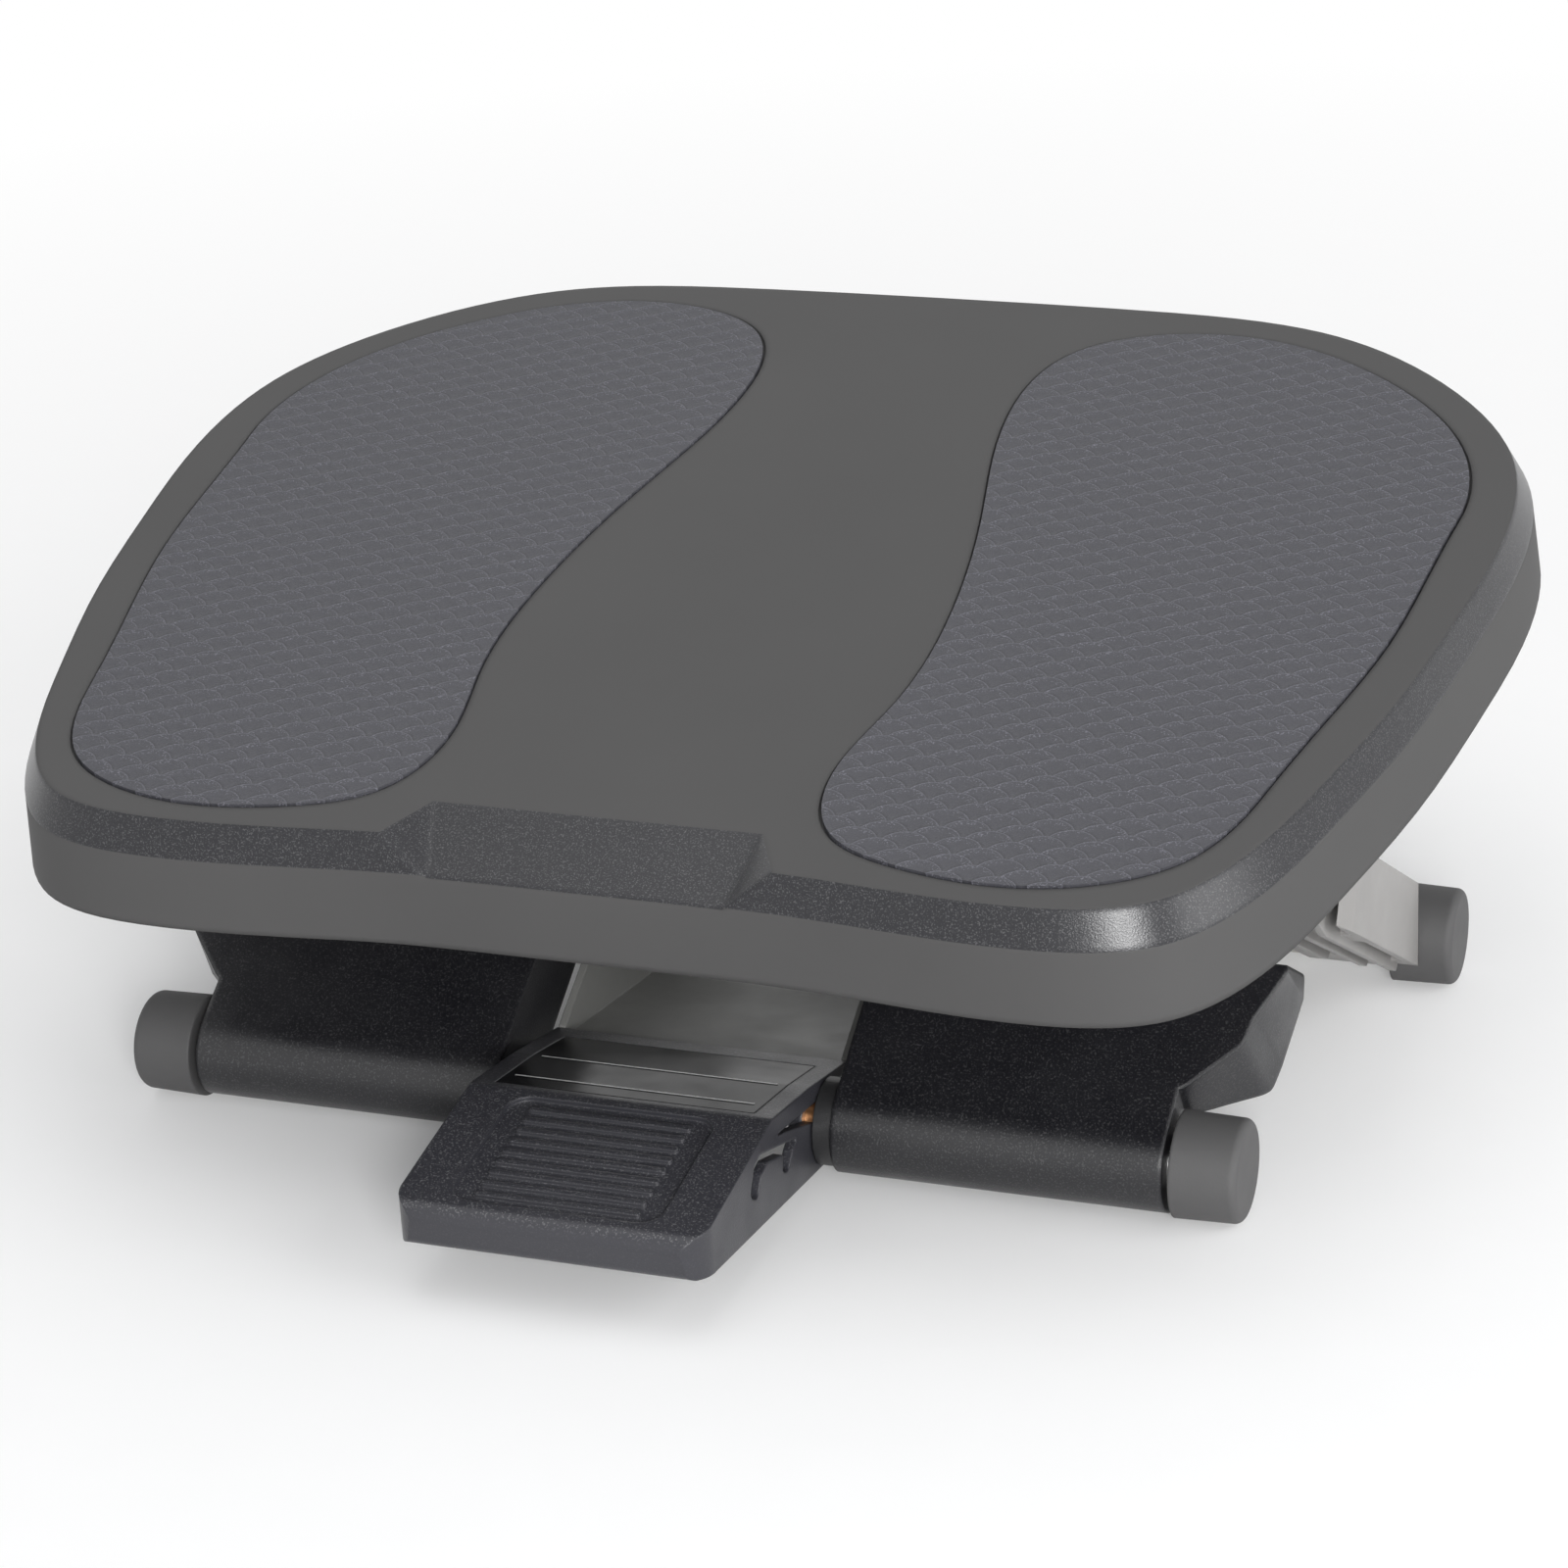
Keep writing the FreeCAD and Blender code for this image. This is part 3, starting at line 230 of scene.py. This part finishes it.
def scale_pattern_rubber(name, colour):
    """Soft mat with staggered rows of overlapping round scales, each higher at its rear edge, with
    painted shade behind each edge, a painted highlight along it and painted glints.
    """
    scale_width = 0.0153
    row_pitch = 0.00436
    relief = 0.0013
    grain_share = 0.16
    radius = scale_width / 2
    mat, tree, bsdf = new_material(name)
    axes = own_axes(tree, "Object")
    x = axes["X"]
    y = axes["Y"]
    first_row = calc(tree, "CEIL", calc(tree, "DIVIDE", calc(tree, "SUBTRACT", y, radius), row_pitch))

    def reach(step):
        """Distance from the middle of the nearest scale of a row, 1 at its edge."""
        row = calc(tree, "ADD", first_row, step)
        stagger = calc(tree, "MULTIPLY", calc(tree, "PINGPONG", row, 1.0), 0.5)
        cell = calc(tree, "FRACT", calc(tree, "ADD", calc(tree, "DIVIDE", x, scale_width), stagger))
        across = calc(tree, "MULTIPLY", calc(tree, "SUBTRACT", cell, 0.5), scale_width)
        along = calc(tree, "SUBTRACT", y, calc(tree, "MULTIPLY", row, row_pitch))
        across_square = calc(tree, "MULTIPLY", across, across)
        along_square = calc(tree, "MULTIPLY", along, along)
        distance = calc(tree, "SQRT", calc(tree, "ADD", across_square, along_square))
        return calc(tree, "DIVIDE", distance, radius)

    def clear(top):
        """Painted shade: 0 just behind the edge of an upper scale, 1 on it and away from it."""
        behind = ramp(tree, top, (1.0, 1.14), (0, 1))
        return calc(tree, "MAXIMUM", behind, calc(tree, "LESS_THAN", top, 1.0))

    def over(top, below):
        """The upper scale where it reaches, the one below elsewhere."""
        covers = calc(tree, "LESS_THAN", top, 1.0)
        kept = calc(tree, "MULTIPLY", covers, top)
        rest = calc(tree, "MULTIPLY", calc(tree, "SUBTRACT", 1.0, covers), below)
        return calc(tree, "ADD", kept, rest)

    upper = reach(0)
    middle = reach(1)
    place = over(upper, over(middle, reach(2)))
    on_upper = calc(tree, "LESS_THAN", upper, 1.0)
    unshaded_share = calc(tree, "MULTIPLY", clear(upper), calc(tree, "MAXIMUM", on_upper, clear(middle)))
    fine = noise(tree, 1700.0)
    # Painted highlight: a light line along the edge of each scale.
    rim_highlight = ramp(tree, place, (0.93, 0.965), (0, 0.9))
    # Painted glints: light flecks on the rear part of each scale stand in for the grain's sparkle.
    rear_part = ramp(tree, place, (0.55, 0.75), (0, 1))
    painted_glints = calc(tree, "MULTIPLY", rear_part, ramp(tree, fine, (0.57, 0.67), (0, 0.9)))
    # Painted shade: the colour is darkened just behind the edge of each upper scale.
    body = colour_mix(tree, unshaded_share, scaled(colour, 0.7), colour)
    body = colour_mix(tree, rim_highlight, body, scaled(colour, 1.75))
    body = colour_mix(tree, painted_glints, body, scaled(colour, 3.0))
    tree.links.new(body, bsdf.inputs["Base Color"])
    tree.links.new(ramp(tree, fine, (0.3, 0.7), (0.45, 0.65)), bsdf.inputs["Roughness"])
    bsdf.inputs["Specular IOR Level"].default_value = 0.4
    rise = calc(tree, "POWER", place, 1.6)
    height = calc(tree, "ADD", rise, calc(tree, "MULTIPLY", fine, grain_share))
    bump(tree, bsdf, height, relief)
    return mat


finishes = {
    # The deck's slope colour is painted shade: the top's plastic, darkened.
    "deck_plastic": deck_plastic(
        "deck satin plastic", flat=(0.054, 0.053, 0.053), shaded_slope_colour=(0.012, 0.012, 0.015)),
    "mat_rubber": scale_pattern_rubber("mat rubber", (0.055, 0.055, 0.064)),
    # The fleck amounts below lighten painted glints: flecks that stand in for the grain's sparkle.
    "front_leg_plastic": grained_plastic(
        "front leg black plastic", (0.007, 0.007, 0.009), rough=0.36, grain=1700.0, depth=0.00007,
        glint_lift=0.032, edge=0.002, specular=0.65),
    "rear_leg_plastic": grained_plastic(
        "rear leg grey plastic", (0.245, 0.238, 0.232), rough=0.45, grain=1800.0, depth=0.00005),
    "cap_rubber": grained_plastic(
        "foot cap rubber", (0.070, 0.069, 0.070), rough=0.66, grain=1400.0, depth=0.00006, edge=0.0012),
    "pedal_plastic": grained_plastic(
        "pedal textured plastic", (0.030, 0.030, 0.036), rough=0.34, grain=1700.0, depth=0.00008,
        glint_lift=0.09, edge=0.001, fewer_glints_on_walls=True),
    "label_gloss": grained_plastic(
        "label dark gloss", (0.009, 0.009, 0.010), rough=0.18, grain=400.0, depth=0.000002,
        specular=0.12),
    "tray_steel": grained_plastic(
        "tray painted steel", (0.18, 0.18, 0.172), rough=0.42, grain=1200.0, depth=0.00003),
    "frame_plastic": grained_plastic(
        "frame black plastic", (0.020, 0.020, 0.021), rough=0.42, grain=1700.0, depth=0.00006),
    "plated_steel": brushed_metal("plated steel", (0.60, 0.60, 0.60), rough=0.3),
    "spring_steel": brushed_metal("spring steel", (0.38, 0.38, 0.39), rough=0.35),
    "copper_alloy": brushed_metal("copper bush", (0.72, 0.36, 0.17), rough=0.35),
    "bush_plastic": grained_plastic(
        "bush pale plastic", (0.50, 0.49, 0.45), rough=0.4, grain=1800.0, depth=0.00004),
}

for entry in frame["record"]["subparts"]:
    mesh = nodes[entry["node"]].data
    mesh.materials.clear()
    mesh.materials.append(finishes[entry["material_slot"]])
    for poly in mesh.polygons:
        poly.use_smooth = True
    mesh.set_sharp_from_angle(angle=sharp_angle)


def white_ink():
    mat, tree, bsdf = new_material("label white ink")
    ink = colour_mix(tree, noise(tree, 300.0), (0.72, 0.72, 0.71), (0.86, 0.86, 0.85))
    tree.links.new(ink, bsdf.inputs["Base Color"])
    bsdf.inputs["Roughness"].default_value = 0.35
    return mat


def top_height(mesh):
    """Function that gives the height of the mesh's top at a place along Y."""
    tops = {}
    for v in mesh.vertices:
        key = round(v.co.y, 5)
        tops[key] = max(tops.get(key, -1), v.co.z)
    rows = sorted(tops.items())

    def height(y):
        for (y0, z0), (y1, z1) in zip(rows, rows[1:]):
            if y0 <= y <= y1:
                return z0 + (z1 - z0) * (y - y0) / (y1 - y0)
        return rows[-1][1]

    return height


def label_lines():
    """Two thin white lines across the label plate, following its slope."""
    half_length = 0.038
    half_width = 0.00042
    lift = 0.0002
    before_axle = (0.0328, 0.0128)
    ink = white_ink()
    height = top_height(nodes["pedal_label_plate"].data)
    corners = ((-half_length, -half_width), (half_length, -half_width),
               (half_length, half_width), (-half_length, half_width))
    for i, ahead in enumerate(before_axle):
        verts = []
        for x, dy in corners:
            y = front_axle_y - ahead + dy
            verts.append((x, y, height(y) + lift))
        mesh = bpy.data.meshes.new(f"label_line_{i}")
        mesh.from_pydata(verts, [], [(0, 1, 2, 3)])
        mesh.materials.append(ink)
        line = bpy.data.objects.new(f"label_line_{i}", mesh)
        bpy.context.collection.objects.link(line)
        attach(line, "pedal")


def seen_share(tree):
    """1 for rays that show the background: camera, glossy and transmission rays."""
    path = add(tree, "ShaderNodeLightPath")
    some = calc(tree, "MAXIMUM", path.outputs["Is Camera Ray"], path.outputs["Is Glossy Ray"])
    return calc(tree, "MAXIMUM", some, path.outputs["Is Transmission Ray"])


def floor():
    """Pale floor that keeps the object's shadow, turns white far off and shows from above only."""
    size = 14
    drop = 0.0002
    shadow_reach = (0.16, 0.38)
    shadow_glow = (0.1, 0.6)
    far_reach = (0.45, 1.2)
    far_glow = (0, 0.4)
    mat, tree, bsdf = new_material("pale floor")
    paint = colour_mix(tree, noise(tree, 40.0), (0.93, 0.93, 0.93), (0.96, 0.96, 0.96))
    tree.links.new(paint, bsdf.inputs["Base Color"])
    bsdf.inputs["Roughness"].default_value = 0.9
    coords = add(tree, "ShaderNodeTexCoord")
    away = add(tree, "ShaderNodeVectorMath", operation="LENGTH")
    tree.links.new(coords.outputs["Object"], away.inputs[0])
    near = ramp(tree, away.outputs["Value"], shadow_reach, shadow_glow)
    far = ramp(tree, away.outputs["Value"], far_reach, far_glow)
    share = calc(tree, "MULTIPLY", seen_share(tree), calc(tree, "ADD", near, far))
    glow = add(tree, "ShaderNodeEmission")
    above = shader_mix(tree, share, bsdf.outputs["BSDF"], glow.outputs["Emission"])
    side = add(tree, "ShaderNodeNewGeometry")
    clear = add(tree, "ShaderNodeBsdfTransparent")
    whole = shader_mix(tree, side.outputs["Backfacing"], above, clear.outputs["BSDF"])
    tree.links.new(whole, tree.nodes["Material Output"].inputs["Surface"])
    bpy.ops.mesh.primitive_plane_add(size=size, location=(0, 0, -drop))
    plane = bpy.context.object
    plane.name = "studio_floor"
    plane.data.materials.append(mat)


def backdrop():
    """World that lights the object softly and shows plain white behind it."""
    world = bpy.data.worlds.new("studio")
    bpy.context.scene.world = world
    world.use_nodes = True
    tree = world.node_tree
    soft = tree.nodes["Background"]
    soft.inputs["Color"].default_value = (0.97, 0.98, 1.0, 1)
    soft.inputs["Strength"].default_value = 0.45
    white = add(tree, "ShaderNodeBackground")
    white.inputs["Color"].default_value = (1, 1, 1, 1)
    white.inputs["Strength"].default_value = 1.0
    whole = shader_mix(tree, seen_share(tree), soft.outputs["Background"], white.outputs["Background"])
    tree.links.new(whole, tree.nodes["World Output"].inputs["Surface"])


def lamp(name, place, target, size, power):
    data = bpy.data.lights.new(name, "AREA")
    data.shape = "SQUARE"
    data.size = size
    data.energy = power
    obj = bpy.data.objects.new(name, data)
    obj.location = place
    obj.rotation_euler = (Vector(target) - Vector(place)).to_track_quat("-Z", "Y").to_euler()
    bpy.context.collection.objects.link(obj)


def camera():
    """Camera at the photograph's viewing angle."""
    yaw = math.radians(20.82)
    pitch = math.radians(23.79)
    roll = math.radians(-3.24)
    place = Vector((0.4532, front_axle_y - 1.0854, 0.6378))
    picture_width_pixels = 1600
    focal_length_pixels = 4449.3
    sensor_width_mm = 36.0
    ahead = Vector((-math.sin(yaw) * math.cos(pitch), math.cos(yaw) * math.cos(pitch), -math.sin(pitch)))
    level_right = Vector((math.cos(yaw), math.sin(yaw), 0))
    level_up = level_right.cross(ahead)
    right = level_right * math.cos(roll) + level_up * math.sin(roll)
    up = level_up * math.cos(roll) - level_right * math.sin(roll)
    data = bpy.data.cameras.new("camera")
    data.sensor_width = sensor_width_mm
    data.lens = focal_length_pixels / picture_width_pixels * sensor_width_mm
    data.clip_end = 50
    obj = bpy.data.objects.new("camera", data)
    obj.matrix_world = Matrix((
        (right.x, up.x, -ahead.x, place.x),
        (right.y, up.y, -ahead.y, place.y),
        (right.z, up.z, -ahead.z, place.z),
        (0, 0, 0, 1)))
    bpy.context.collection.objects.link(obj)
    bpy.context.scene.camera = obj


label_lines()
floor()
backdrop()
lamp("key", place=(0.95, -2.0, 0.82), target=(0, -0.1, 0.1), size=0.7, power=40)
lamp("top", place=(-0.1, -0.3, 2.3), target=(0, 0, 0.1), size=1.4, power=6)
lamp("side", place=(2.0, -0.3, 0.9), target=(0, 0, 0.08), size=1.5, power=23)
lamp("back", place=(-0.8, 1.75, 1.7), target=(0, 0, 0.1), size=2.0, power=5)
camera()
bpy.context.scene.view_settings.view_transform = "Standard"
